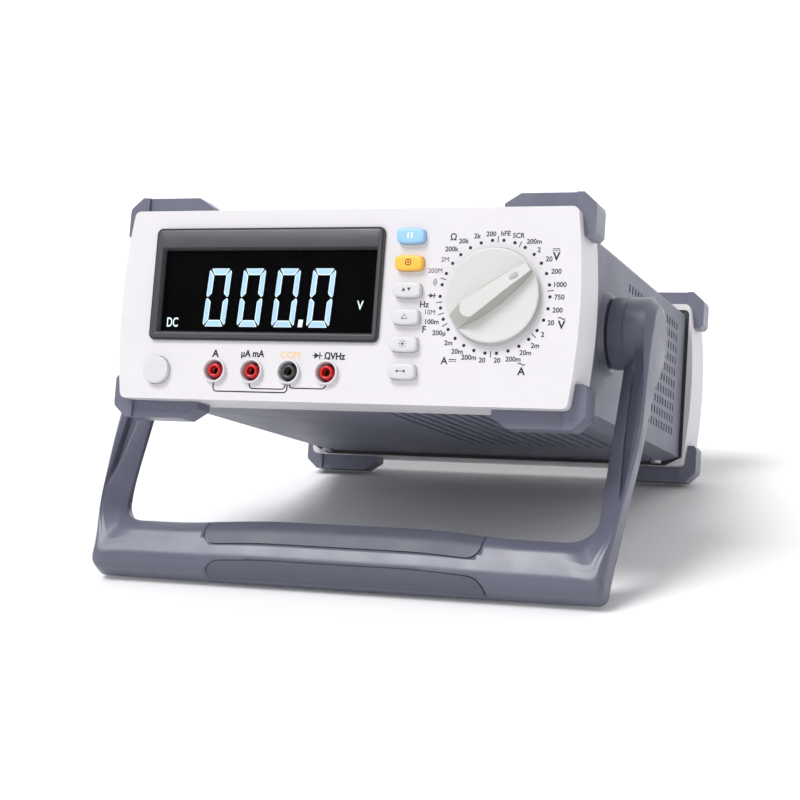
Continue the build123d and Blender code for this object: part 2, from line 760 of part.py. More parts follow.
with BuildPart() as handle:
    with BuildSketch(face(-30.0, HANDLE)):
        with BuildLine():
            for side in (-1, 1):
                outer = ARM_OUTER_X * side
                inner = ARM_INNER_X * side
                heel = HEEL_X * side
                Line((0, ARM_LOW), (heel - 10.0 * side, ARM_LOW))
                TangentArc((heel - 10.0 * side, ARM_LOW), (heel, ARM_LOW + 10.0), tangent=(side, 0))
                TangentArc((outer, -50.0), (heel, ARM_LOW + 10.0), tangent=(0, -1))
                Polyline((outer, -50.0), (outer, ARM_HIGH), (inner, ARM_HIGH), (inner, CROOK_Z))
                TangentArc((inner, CROOK_Z), (inner - CROOK_R * side, CROSSBAR_TOP), tangent=(0, -1))
                Line((inner - CROOK_R * side, CROSSBAR_TOP), (0, CROSSBAR_TOP))
        make_face()
    extrude(amount=-60.0)
    with BuildSketch(flank(-ARM_OUTER_X - 5.0, HANDLE)):
        with BuildLine():
            ThreePointArc((-HUB_R, 0), (0, HUB_R), (HUB_R, 0))
            Spline((HUB_R, 0), (ARM_BACK + 2.0, -34.0), (ARM_BACK, -70.0),
                   tangents=((0, -1), (0, -1)))
            Polyline((ARM_BACK, -70.0), (ARM_BACK, -98.0), (CROSSBAR_BACK, -108.0),
                     (CROSSBAR_BACK, CROSSBAR_BOTTOM), (CROSSBAR_FRONT, CROSSBAR_NOSE),
                     (CROSSBAR_FRONT, -60.0))
            Spline((CROSSBAR_FRONT, -60.0), (-HUB_R, 0), tangents=((0, 1), (0, 1)))
        make_face()
    extrude(amount=2 * ARM_OUTER_X + 10.0, mode=Mode.INTERSECT)
    for side in (-1, 1):
        with BuildSketch(deck(-104.0, HANDLE)):
            Polygon((side * ARM_INNER_X, -1.0), (side * ARM_OUTER_X, -9.6),
                    (side * ARM_INNER_X, -9.6 - 9.0), align=None)
        extrude(amount=86.0, mode=Mode.SUBTRACT)
        with BuildSketch(flank(side * HUB_INNER_X, HANDLE)):
            Circle(HUB_R - 0.3)
        extrude(amount=side * (ARM_INNER_X - HUB_INNER_X + 2.0))
        with BuildSketch(flank(side * HUB_INNER_X, HANDLE)):
            Circle(AXLE_R + RUNNING)
        extrude(amount=side * 14.0, mode=Mode.SUBTRACT)
        with BuildSketch(flank(side * HUB_INNER_X, HANDLE)):
            Circle(13.0)
        extrude(amount=side * 4.0, mode=Mode.SUBTRACT)
    for low, high in (UPPER_PAD, LOWER_PAD):
        with BuildSketch(face(CROSSBAR_FRONT - 5.0, HANDLE)):
            with Locations((0, (low + high) / 2)):
                RectangleRounded(2 * PAD_HALF, high - low, 3.0)
        extrude(amount=-(5.0 + PAD_DEPTH), mode=Mode.SUBTRACT)
save(handle, "handle")


def grip_pad(label, low, high):
    """Soft pad that fills its pocket in the crossbar."""
    with BuildPart() as pad:
        with BuildSketch(face(CROSSBAR_FRONT, HANDLE)):
            with Locations((0, (low + high) / 2)):
                RectangleRounded(2 * PAD_HALF, high - low, 3.0)
        extrude(amount=-PAD_DEPTH)
    save(pad, label)


grip_pad("grip_pad_upper", *UPPER_PAD)
grip_pad("grip_pad_lower", *LOWER_PAD)

with BuildPart() as pivot_bosses:
    for side in (-1, 1):
        with BuildSketch(flank(side * SLEEVE_W / 2)):
            with Locations((PIVOT_Y, 0)):
                Circle(20.5)
                Circle(AXLE_R, mode=Mode.SUBTRACT)
        extrude(amount=side * (HUB_INNER_X - 0.4 - SLEEVE_W / 2), taper=38)
save(pivot_bosses, "pivot_bosses")

with BuildPart() as pivot_axles:
    for side in (-1, 1):
        with BuildSketch(flank(side * (SLEEVE_W / 2 - WALL - 3.0))):
            with Locations((PIVOT_Y, 0)):
                Circle(11.0)
        extrude(amount=side * 3.0)
        with BuildSketch(flank(side * (SLEEVE_W / 2 - WALL))):
            with Locations((PIVOT_Y, 0)):
                Circle(AXLE_R)
        extrude(amount=side * (HUB_INNER_X + 13.4 - SLEEVE_W / 2 + WALL))
save(pivot_axles, "pivot_axles")

with BuildPart() as detent_springs:
    for side in (-1, 1):
        with BuildSketch(flank(side * (HUB_INNER_X + 0.4))):
            with Locations((PIVOT_Y, 0)):
                Circle(12.4)
                Circle(AXLE_R + 0.3, mode=Mode.SUBTRACT)
        extrude(amount=side * 3.6)
save(detent_springs, "detent_springs")

print(f"tilt {degrees(tilt):.2f} deg, floor drop {floor_drop:.2f}, middle {middle:.2f}")
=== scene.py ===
import json
from math import cos, hypot, pi, radians, sin, sqrt

import bpy
from mathutils import Matrix, Vector


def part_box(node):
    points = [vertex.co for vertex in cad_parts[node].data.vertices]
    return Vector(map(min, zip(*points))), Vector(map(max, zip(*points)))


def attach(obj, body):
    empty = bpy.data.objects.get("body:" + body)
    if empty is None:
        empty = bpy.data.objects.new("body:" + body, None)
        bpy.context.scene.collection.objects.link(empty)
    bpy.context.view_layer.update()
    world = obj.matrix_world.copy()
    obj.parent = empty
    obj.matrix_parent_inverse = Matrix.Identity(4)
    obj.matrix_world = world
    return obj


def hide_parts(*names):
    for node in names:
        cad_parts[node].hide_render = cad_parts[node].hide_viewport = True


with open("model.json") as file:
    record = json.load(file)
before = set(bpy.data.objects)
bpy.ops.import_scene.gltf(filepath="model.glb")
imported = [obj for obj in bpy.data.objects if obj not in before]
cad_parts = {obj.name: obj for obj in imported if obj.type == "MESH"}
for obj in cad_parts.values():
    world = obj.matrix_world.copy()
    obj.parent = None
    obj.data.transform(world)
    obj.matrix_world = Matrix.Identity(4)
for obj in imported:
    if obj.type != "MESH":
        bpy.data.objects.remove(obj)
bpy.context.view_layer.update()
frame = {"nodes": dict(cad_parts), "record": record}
scene = bpy.context.scene
nodes = frame["nodes"]
MM = 0.001
PANEL_Y = 2.0    # depth of the front panel's face in the case frame, in millimetres

# ------------------------------------------------------------------ frames of the instrument
# The case frame sits at the centre of the front face: X right, Y backwards, Z up, in millimetres.
# The handle frame has its origin on the pivot, and the handle hangs straight down in it.
joints = {j["name"]: j for j in frame["record"]["behaviour"]["joints"]}
mounts = {m["name"]: m for m in frame["record"]["mounts"]}
PIVOT_Y = 72.0
HANDLE_LEAN = 21.0
POWER_AT = (-91.6, -31.8)    # axis of the power button, across and up
right = Vector((1, 0, 0))
back = -Vector(joints["dial_turn"]["axis"])
up = right.cross(back)
pivot = Vector(joints["handle_pivot"]["pos_m"])


def axes_at(origin, x, y, z):
    """Frame with these three axes at this origin."""
    m = Matrix((x, y, z)).transposed().to_4x4()
    m.translation = origin
    return m


CASE = axes_at(pivot - back * PIVOT_Y * MM, right, back, up) @ Matrix.Scale(MM, 4)
HANDLE = CASE @ Matrix.Translation((0, PIVOT_Y, 0)) @ Matrix.Rotation(radians(-HANDLE_LEAN), 4, "X")


def in_case(point):
    """A record position, in metres, as case-frame millimetres."""
    return CASE.inverted() @ Vector(point)


dial_at = in_case(joints["dial_turn"]["pos_m"])
jack_names = ("jack_amps", "jack_milliamps", "jack_common", "jack_volts")
jack_at = [in_case(mounts[n]["pos_m"]) for n in jack_names]


def at_front(spot):
    """Frame with its origin on the front face at this place."""
    return CASE @ Matrix.Translation((spot.x, 0, spot.z))


def middle(node):
    """Middle of a CAD node's box, in the case frame."""
    low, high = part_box(node)
    return in_case((Vector(low) + Vector(high)) / 2)


# ------------------------------------------------------------------ materials
def srgb(r, g, b):
    """Linear colour from 0 to 255 display values."""
    return tuple((c / 255 / 12.92) if c <= 10 else ((c / 255 + 0.055) / 1.055) ** 2.4 for c in (r, g, b))


def material(name, colour, rough, grain=0.4, bump=0.02, vary=0.05, rough_vary=0.06, wear=0.12, metal=0.0,
             coat=0.0, alpha=1.0, emit=0.0, cells=False, mottle=18.0, gloss=0.5):
    """Moulded or metal surface: mottled colour, uneven roughness, fine grain and paler worn edges.

    colour is in 0 to 255 display values. grain is the grain size and bump its height, both in
    millimetres; mottle is in millimetres too."""
    mat = bpy.data.materials.new(name)
    mat.use_nodes = True
    tree = mat.node_tree
    shader = tree.nodes["Principled BSDF"]
    link = tree.links.new

    def node(kind, **settings):
        made = tree.nodes.new(kind)
        for key, value in settings.items():
            setattr(made, key, value)
        return made

    def noise_at(scale, detail):
        made = node("ShaderNodeTexNoise")
        made.inputs["Scale"].default_value = scale
        made.inputs["Detail"].default_value = detail
        link(place.outputs["Object"], made.inputs["Vector"])
        return made

    def ranged(source, low, high, frm=(0.3, 0.7)):
        made = node("ShaderNodeMapRange")
        made.inputs["From Min"].default_value = frm[0]
        made.inputs["From Max"].default_value = frm[1]
        made.inputs["To Min"].default_value = low
        made.inputs["To Max"].default_value = high
        link(source, made.inputs["Value"])
        return made.outputs["Result"]

    place = node("ShaderNodeTexCoord")
    patches = noise_at(1000 / mottle, 4.0)
    specks = noise_at(1000 / max(grain, 0.25), 2.0)

    def mixed(factor, a, b):
        made = node("ShaderNodeMix", data_type="RGBA")
        link(factor, made.inputs["Factor"])
        for slot, value in (("A", a), ("B", b)):
            socket = [s for s in made.inputs if s.name == slot and s.type == "RGBA"][0]
            if isinstance(value, tuple):
                socket.default_value = (*value, 1.0)
            else:
                link(value, socket)
        return [s for s in made.outputs if s.type == "RGBA"][0]

    colour = srgb(*colour)
    dark = tuple(c * (1 - vary) for c in colour)
    light = tuple(min(1.0, c * (1 + vary)) for c in colour)
    shade = mixed(ranged(patches.outputs["Fac"], 0, 1), dark, light)
    if wear:
        soft = node("ShaderNodeBevel", samples=4)
        soft.inputs["Radius"].default_value = 0.0007
        flat = node("ShaderNodeNewGeometry")
        dot = node("ShaderNodeVectorMath", operation="DOT_PRODUCT")
        link(soft.outputs["Normal"], dot.inputs[0])
        link(flat.outputs["Normal"], dot.inputs[1])
        edge = ranged(dot.outputs["Value"], wear, 0.0, (0.86, 0.99))
        broken = node("ShaderNodeMath", operation="MULTIPLY")
        link(edge, broken.inputs[0])
        link(ranged(patches.outputs["Fac"], 0.3, 1.0), broken.inputs[1])
        pale = tuple(min(1.0, c * 1.5 + 0.06) for c in colour)
        shade = mixed(broken.outputs["Value"], shade, pale)
    link(shade, shader.inputs["Base Color"])
    link(ranged(patches.outputs["Fac"], rough - rough_vary, rough + rough_vary), shader.inputs["Roughness"])
    if bump:
        height = specks.outputs["Fac"]
        if cells:
            crackle = node("ShaderNodeTexVoronoi", feature="SMOOTH_F1")
            crackle.inputs["Scale"].default_value = 1000 / grain
            link(place.outputs["Object"], crackle.inputs["Vector"])
            height = crackle.outputs["Distance"]
        bumps = node("ShaderNodeBump")
        bumps.inputs["Strength"].default_value = 0.6
        bumps.inputs["Distance"].default_value = bump * MM
        link(height, bumps.inputs["Height"])
        link(bumps.outputs["Normal"], shader.inputs["Normal"])
    shader.inputs["Metallic"].default_value = metal
    shader.inputs["Coat Weight"].default_value = coat
    shader.inputs["Alpha"].default_value = alpha
    shader.inputs["Specular IOR Level"].default_value = gloss
    if emit:
        link(shade, shader.inputs["Emission Color"])
        shader.inputs["Emission Strength"].default_value = emit
    return mat


LOOKS = {
    "panel_plastic": dict(colour=(217, 214, 218), rough=0.5, grain=0.35, bump=0.012, vary=0.012,
                          wear=0.05),
    "cover_plastic": dict(colour=(112, 114, 130), rough=0.5, grain=0.5, bump=0.03, vary=0.03, wear=0.15),
    "guard_plastic": dict(colour=(104, 106, 123), rough=0.34, grain=0.4, bump=0.02, vary=0.03, wear=0.25),
    "handle_plastic": dict(colour=(94, 96, 112), rough=0.34, grain=0.45, bump=0.02, vary=0.03, wear=0.2),
    "grip_rubber": dict(colour=(82, 84, 98), rough=0.52, grain=1.1, bump=0.11, vary=0.05, wear=0.1,
                        cells=True),
    "display_frame": dict(colour=(66, 66, 71), rough=0.36, grain=0.3, bump=0.01, vary=0.04, wear=0.15),
    "window_clear": dict(colour=(4, 4, 6), rough=0.06, grain=0.3, bump=0.0, vary=0.1, rough_vary=0.02,
                         wear=0, alpha=0.35, gloss=0.08),
    "lcd_glass": dict(colour=(2, 2, 3), rough=0.3, grain=0.3, bump=0.0, vary=0.2, rough_vary=0.05, wear=0,
                      gloss=0.1),
    "backlight": dict(colour=(210, 218, 235), rough=0.5, grain=0.3, bump=0.01, vary=0.03, wear=0),
    "inner_plastic": dict(colour=(38, 38, 40), rough=0.5, grain=0.4, bump=0.02, vary=0.08),
    "button_white": dict(colour=(208, 207, 210), rough=0.42, grain=0.3, bump=0.008, vary=0.012,
                         wear=0.05),
    "button_blue": dict(colour=(150, 198, 243), rough=0.4, grain=0.3, bump=0.008, vary=0.03, wear=0.05),
    "button_amber": dict(colour=(250, 190, 70), rough=0.4, grain=0.3, bump=0.008, vary=0.03, wear=0.05),
    "dial_plastic": dict(colour=(206, 205, 204), rough=0.38, grain=0.3, bump=0.006, vary=0.012,
                         wear=0.05),
    "jack_red": dict(colour=(205, 20, 30), rough=0.28, grain=0.3, bump=0.004, vary=0.06, wear=0.1,
                     coat=0.3),
    "jack_black": dict(colour=(62, 63, 68), rough=0.3, grain=0.3, bump=0.004, vary=0.06, wear=0.1,
                       coat=0.3),
    "contact_brass": dict(colour=(214, 196, 150), rough=0.28, grain=0.3, bump=0.004, vary=0.06,
                          metal=1.0),
    "board_laminate": dict(colour=(38, 96, 60), rough=0.45, grain=0.5, bump=0.02, vary=0.12),
    "core_steel": dict(colour=(120, 120, 122), rough=0.5, grain=0.5, bump=0.03, vary=0.1, metal=0.9),
    "winding_wire": dict(colour=(166, 84, 48), rough=0.4, grain=0.4, bump=0.06, vary=0.1, metal=0.7),
    "rear_black": dict(colour=(46, 46, 50), rough=0.5, grain=0.5, bump=0.03, vary=0.06),
    "fuse_glass": dict(colour=(200, 214, 214), rough=0.1, grain=0.4, bump=0.0, vary=0.05, wear=0,
                       alpha=0.35),
    "plated_steel": dict(colour=(176, 178, 182), rough=0.32, grain=0.3, bump=0.006, vary=0.06, metal=1.0),
    "key_mark_white": dict(colour=(236, 242, 248), rough=0.5, grain=0.2, bump=0.003, vary=0.02, wear=0),
    "key_mark_brown": dict(colour=(120, 52, 26), rough=0.5, grain=0.2, bump=0.003, vary=0.1, wear=0),
    "key_mark_dark": dict(colour=(70, 68, 70), rough=0.5, grain=0.2, bump=0.003, vary=0.1, wear=0),
    "ink": dict(colour=(22, 21, 23), rough=0.6, grain=0.2, bump=0.003, vary=0.15, wear=0),
    "ink_soft": dict(colour=(52, 51, 54), rough=0.6, grain=0.2, bump=0.003, vary=0.15, wear=0),
    "ink_orange": dict(colour=(244, 186, 96), rough=0.6, grain=0.2, bump=0.003, vary=0.08, wear=0),
    "digit": dict(colour=(134, 166, 218), rough=0.5, grain=0.3, bump=0.0, vary=0.02, wear=0, emit=0.75),
    "digit_edge": dict(colour=(186, 202, 206), rough=0.5, grain=0.3, bump=0.0, vary=0.02, wear=0,
                       emit=0.8),
    # painted shade: greyer dial colour standing in for the shading on the grip bar's flanks and tail
    "dial_painted_shade": dict(colour=(168, 167, 163), rough=0.4, grain=0.3, bump=0.006, vary=0.015, wear=0.05),
    "mark_grey": dict(colour=(176, 175, 174), rough=0.5, grain=0.3, bump=0.004, vary=0.04, wear=0),
    "sweep": dict(colour=(246, 246, 247), rough=0.8, grain=1.5, bump=0.0, vary=0.003, wear=0, mottle=900,
                  gloss=0.1),
}
M = {name: material(name, **look) for name, look in LOOKS.items()}


# ------------------------------------------------------------------ mesh helpers
def piece(name, verts, faces, at, body, finish, slot, crease=38):
    """A mesh piece from points in millimetres in the frame `at`, riding on a body."""
    mesh = bpy.data.meshes.new(name)
    mesh.from_pydata([at @ Vector(v) for v in verts], [], faces)
    mesh.validate()
    mesh.materials.append(finish)
    mesh.shade_smooth()
    mesh.set_sharp_from_angle(angle=radians(crease))
    ob = bpy.data.objects.new(name, mesh)
    scene.collection.objects.link(ob)
    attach(ob, body)
    return ob


def rounded(corners, radii, steps=4):
    """Closed outline with every corner rounded by an arc of steps + 1 points."""
    out = []
    n = len(corners)
    for i in range(n):
        here = Vector(corners[i])
        before = Vector(corners[i - 1]) - here
        after = Vector(corners[(i + 1) % n]) - here
        reach = min(radii[i], 0.45 * before.length, 0.45 * after.length)
        start = here + before.normalized() * reach
        end = here + after.normalized() * reach
        for k in range(steps + 1):
            t = k / steps
            out.append(start * (1 - t) ** 2 + here * 2 * t * (1 - t) + end * t ** 2)
    return out


def loft(rings, close_ends=True, around=True):
    """Vertices and faces of a skin through rings with the same number of points."""
    n = len(rings[0])
    verts = [p for ring in rings for p in ring]
    faces = []
    for i in range(len(rings) - 1):
        for j in range(n if around else n - 1):
            k = (j + 1) % n
            faces.append((i * n + j, i * n + k, (i + 1) * n + k, (i + 1) * n + j))
    if close_ends:
        faces.append(tuple(reversed(range(n))))
        faces.append(tuple((len(rings) - 1) * n + j for j in range(n)))
    return verts, faces


def lathe(profile, centre, axis="y", count=96, closed=False):
    """Skin of a profile of (distance along the axis, radius) turned round the axis."""
    rings = []
    for along, radius in profile:
        ring = []
        for j in range(count):
            a = 2 * pi * j / count
            u, v = radius * cos(a), radius * sin(a)
            local = (u, along, v) if axis == "y" else (along, u, v)
            ring.append(Vector(centre) + Vector(local))
        rings.append(ring)
    if closed:
        rings.append(rings[0])
        verts, faces = loft(rings, close_ends=False)
        n = len(verts) - count
        verts = verts[:n]
        faces = [tuple(i % n for i in f) for f in faces]
        return verts, faces
    return loft(rings)


def joined(parts):
    """Several (verts, faces) as one."""
    verts, faces = [], []
    for v, f in parts:
        base = len(verts)
        verts += list(v)
        faces += [tuple(i + base for i in face) for face in f]
    return verts, faces


def smooth_table(table, x):
    """Value at x of a smooth curve through a table of (x, y) rows."""
    if x <= table[0][0]:
        return table[0][1]
    for i in range(len(table) - 1):
        (x0, y0), (x1, y1) = table[i], table[i + 1]
        if x <= x1:
            before = table[max(i - 1, 0)]
            after = table[min(i + 2, len(table) - 1)]
            m0 = (y1 - before[1]) / (x1 - before[0])
            m1 = (after[1] - y0) / (after[0] - x0)
            h = x1 - x0
            t = (x - x0) / h
            return ((2 * t ** 3 - 3 * t ** 2 + 1) * y0 + (t ** 3 - 2 * t ** 2 + t) * h * m0
                    + (3 * t ** 2 - 2 * t ** 3) * y1 + (t ** 3 - t ** 2) * h * m1)
    return table[-1][1]


def ease(t):
    """Smooth step from 0 to 1."""
    t = min(1.0, max(0.0, t))
    return t * t * (3 - 2 * t)


def mix(a, b, t):
    """Value a part t of the way from a to b."""
    return a + (b - a) * t


INK_Y = PANEL_Y - 0.03


def plate_of(outline, y_back=INK_Y + 0.05, y_front=INK_Y - 0.02):
    """Thin flat piece from an outline of (x, z) points, printed on the panel unless told otherwise."""
    return loft([[(x, y_back, z) for x, z in outline], [(x, y_front, z) for x, z in outline]])


def text_mesh(words, height, x, z, y, bold=0.03, narrow=1.0):
    """Outline letters as a thin mesh, centred on (x, z), height being that of a capital."""
    curve = bpy.data.curves.new("words", "FONT")
    curve.body = words
    curve.size = height / 0.70
    curve.extrude = 0.02
    curve.offset = bold * height
    curve.resolution_u = 3
    ob = bpy.data.objects.new("words", curve)
    scene.collection.objects.link(ob)
    graph = bpy.context.evaluated_depsgraph_get()
    graph.update()
    mesh = bpy.data.meshes.new_from_object(ob.evaluated_get(graph))
    pts = [v.co.copy() for v in mesh.vertices]
    faces = [tuple(p.vertices) for p in mesh.polygons]
    bpy.data.objects.remove(ob)
    mid_x = (min(p.x for p in pts) + max(p.x for p in pts)) / 2
    mid_y = (min(p.y for p in pts) + max(p.y for p in pts)) / 2
    out = [(x + (p.x - mid_x) * narrow, y - p.z, z + p.y - mid_y) for p in pts]
    return out, faces


def stroke(points, width, y_back=INK_Y + 0.05, y_front=INK_Y - 0.01):
    """A printed line of even width through (x, z) points."""
    pts = [Vector(p) for p in points]
    left, right_side = [], []
    for i, p in enumerate(pts):
        ahead = (pts[min(i + 1, len(pts) - 1)] - pts[max(i - 1, 0)]).normalized()
        normal = Vector((-ahead.y, ahead.x)) * width / 2
        left.append(p + normal)
        right_side.append(p - normal)
    parts = []
    for i in range(len(pts) - 1):
        quad = [left[i], left[i + 1], right_side[i + 1], right_side[i]]
        parts.append(plate_of([tuple(q) for q in quad], y_back, y_front))
    return joined(parts)


# ------------------------------------------------------------------ camera, floor and light
CAMERA_AT = (336.53, -785.28, -145.37)     # in the case frame
CAMERA_LOOK = (-0.35742, 0.92617, 0.12020)
CAMERA_HEAD = (-0.02406, -0.13779, 0.99017)
CAMERA_LENS = 84.82


def camera():
    """Camera looking up at the front from the lower right, placed in the case frame."""
    cam = bpy.data.cameras.new("camera")
    cam.lens = CAMERA_LENS
    cam.sensor_width = 36.0
    cam.clip_start = 0.05
    cam.clip_end = 50
    ob = bpy.data.objects.new("camera", cam)
    scene.collection.objects.link(ob)
    look = Vector(CAMERA_LOOK).normalized()
    side = look.cross(Vector(CAMERA_HEAD)).normalized()
    head = side.cross(look)
    m = CASE @ axes_at(Vector(CAMERA_AT), side, head, -look)
    ob.matrix_world = axes_at(m.translation, *[m.col[i].to_3d().normalized() for i in range(3)])
    scene.camera = ob


def stage():
    """A pale sweep, floor running up into a wall, under an even sky."""
    bend = [(-14.0, 0.0), (4.0, 0.0)]
    bend += [(4.0 + 4.0 * sin(a * pi / 32), 4.0 - 4.0 * cos(a * pi / 32)) for a in range(1, 17)]
    bend.append((8.0, 16.0))
    verts, faces = loft([[Vector((x, y, z - 0.0002)) for x in (-30, 30)] for y, z in bend], False, False)
    mesh = bpy.data.meshes.new("sweep")
    mesh.from_pydata(verts, [], faces)
    mesh.shade_smooth()
    mesh.materials.append(M["sweep"])
    ob = bpy.data.objects.new("sweep", mesh)
    scene.collection.objects.link(ob)
    world = bpy.data.worlds.new("world")
    world.use_nodes = True
    world.node_tree.nodes["Background"].inputs["Color"].default_value = (1, 1, 1, 1)
    world.node_tree.nodes["Background"].inputs["Strength"].default_value = 0.52
    scene.world = world
    scene.view_settings.view_transform = "Standard"


def sun(name, towards, strength, spread):
    """Soft directional light; spread is the angle of its disc in degrees."""
    light = bpy.data.lights.new(name, "SUN")
    light.energy = strength
    light.angle = radians(spread)
    ob = bpy.data.objects.new(name, light)
    scene.collection.objects.link(ob)
    ob.rotation_euler = Vector(towards).to_track_quat("-Z", "Y").to_euler()


camera()
stage()
sun("key", (0.35, 0.5, -1.0), 2.2, 28)
sun("front", (-0.15, 1.0, -0.35), 0.35, 50)

# ------------------------------------------------------------------ CAD nodes that stay
for row in frame["record"]["subparts"]:
    ob = nodes[row["node"]]
    ob.data.materials.clear()
    ob.data.materials.append(M[row["material_slot"]])


def soften(names, width, segments=3, angle=32):
    """Rounded edges on CAD nodes."""
    for name in names:
        mod = nodes[name].modifiers.new("soft_edges", "BEVEL")
        mod.width = width * MM
        mod.segments = segments
        mod.limit_method = "ANGLE"
        mod.angle_limit = radians(angle)
        mod.harden_normals = True
        mod.use_clamp_overlap = True


bumpers = [n for n in nodes if n.startswith("bumper_")]
soften(bumpers, 0.9)
soften(["front_bezel", "rear_bezel"], 0.6)
soften(["top_cover", "bottom_cover"], 0.25, 2)
soften(["pivot_bosses"], 0.5)
soften(["rear_panel", "mains_inlet", "fuse_holder", "cover_screws", "rear_screws"], 0.3, 2)

# ------------------------------------------------------------------ painted shade: dark sheets behind the vents, dark ring at the joint
# painted shade: dark sheets inside the covers behind the vent slots make the slots read dark
SHADE_SHEET_X = (105.0, 104.6)
SHADE_SHEET_Y = (100.0, 225.0)
SHADE_SHEET_Z = (-34.0, 36.0)
# painted shade: a dark ring on the rear bezel's front face stands in for the shaded gap between the covers
# and the bezel
GAP_SHADE_Y = (236.7, 237.3)
GAP_SHADE_GROW = (0.15, 1.9)      # inner and outer edge of the dark ring, out from the sleeve
shade_sheets = []
for side in (-1, 1):
    corners = [(SHADE_SHEET_Y[i], SHADE_SHEET_Z[j]) for i, j in ((0, 0), (1, 0), (1, 1), (0, 1))]
    shade_sheets.append(loft([[(side * x, y, z) for y, z in corners] for x in SHADE_SHEET_X]))
piece("vent_shade_sheets", *joined(shade_sheets), CASE, "case", M["inner_plastic"], "inner_plastic")


def sleeve_ring(grow, y):
    """Outline of the covers, grown outwards, at this depth."""
    half = 108.7 + grow
    foot = half - 9.2
    top, split, base = 40.1 + grow, -40.6, -43.5 - grow
    corners = [(half, split), (half, top), (-half, top), (-half, split), (-foot, base), (foot, base)]
    return [(p.x, y, p.y) for p in rounded(corners, [0.5, 3.0, 3.0, 0.5, 0.5, 0.5])]


gap_shade_ring = [sleeve_ring(GAP_SHADE_GROW[i], GAP_SHADE_Y[j]) for i, j in ((0, 1), (0, 0), (1, 0), (1, 1), (0, 1))]
piece("rear_gap_shade", *loft(gap_shade_ring, close_ends=False), CASE, "case", M["inner_plastic"], "inner_plastic")

# ------------------------------------------------------------------ handle
HUB_R = 17.4
INNER_X = 119.2
CROOK = 13.0
CROOK_X, CROOK_S = INNER_X - CROOK, 97.9
BAR_TOP, BAR_BOTTOM = 110.9, 137.4
HEEL_R = 4.5
outer_x = [(0, 134.0), (54, 134.0), (71, 133.2), (87, 131.8), (101, 130.4), (112, 129.5), (119, 128.7),
           (128, 128.1)]
front_edge = [(0, 17.4), (15, 16.2), (30, 12.6), (45, 9.4), (54, 8.2), (71, 8.7), (87, 9.3), (101, 10.0),
              (112, 10.0)]
rear_edge = [(0, -17.4), (12, -14.4), (22, -9.0), (31, -5.0), (45, -2.4), (60, -1.8), (92, -1.8),
             (108, -6.0)]
CORNER_RADII = [0.9, 0.9, 0.6, 0.35, 0.25, 0.25, 0.35, 0.6, 0.9, 0.9, 0.9]


def arm_section(s):
    """Corners (across the arm from its inner face, forward) of the arm at s down from the pivot."""
    width = smooth_table(outer_x, s) - INNER_X
    if s < 0:
        half = sqrt(max(HUB_R ** 2 - s * s, 0.01))
        face_r = HUB_R - 4.0
        over = max(0.0, abs(s) - face_r)
        tip = sqrt(max(face_r ** 2 - s * s, 0.0)) + 0.02
        rim = width - 4.0
        return width, [(0, -half), (0, half), (2.6, half), (7.1, half), (7.4, half), (10.2, half),
                       (10.5, half), (rim, half), (width - over, tip), (width - over, -tip), (rim, -half)]
    edge = smooth_table(front_edge, s)
    rear = smooth_table(rear_edge, s)
    hub = sqrt(max(HUB_R ** 2 - s * s, 0.0)) if s < HUB_R else 0.0
    chamfer = mix(4.0, 0.9, ease(s / 40))
    groove = 3.2 * ease((s - 16) / 16) * (1 - ease((s - 78) / 19))
    dip = 5.8 + 3.8 * ease((s - 45) / 60)

    def front(a):
        return max(hub, 1.0 + (edge - 1.0) * a / width)

    return width, [(0, rear), (0, front(0)), (2.6, front(2.6)), (dip, front(dip)),
                   (dip + 0.5, front(dip + 0.5) - groove), (10.5, front(10.5) - groove), (10.9, front(10.9)),
                   (width - chamfer, edge), (width, edge - chamfer), (width, rear + min(chamfer, 2.0)),
                   (width - chamfer, rear)]


BAR_SECTION = [(0, -6.0), (0, 5.0), (6.5, 10.0), (11.0, 10.0), (11.3, 10.0), (14.3, 10.0), (14.6, 10.0),
               (20.4, 10.0), (25.3, 5.6), (26.5, -4.6), (25.2, -6.0)]
BAR_RADII = [1.8, 1.6, 2.2, 0.3, 0.2, 0.2, 0.3, 3.0, 4.4, 1.2, 1.0]


def outline_hit(angle):
    """Distance from the crook's centre to the handle's outer outline, at an angle down from level."""
    reach = CROOK
    while reach < 60:
        x = CROOK_X + reach * cos(angle)
        s = CROOK_S + reach * sin(angle)
        edge = smooth_table(outer_x, s)
        heel_x, heel_s = edge - HEEL_R, BAR_BOTTOM - HEEL_R
        outside = x > edge or s > BAR_BOTTOM
        if x > heel_x and s > heel_s:
            outside = hypot(x - heel_x, s - heel_s) > HEEL_R
        if outside:
            return reach
        reach += 0.05
    return reach


def bar_top(x):
    """The crossbar's upper edge swells a little where the hand holds it."""
    return BAR_TOP - 2.9 * ease((92 - abs(x)) / 60)


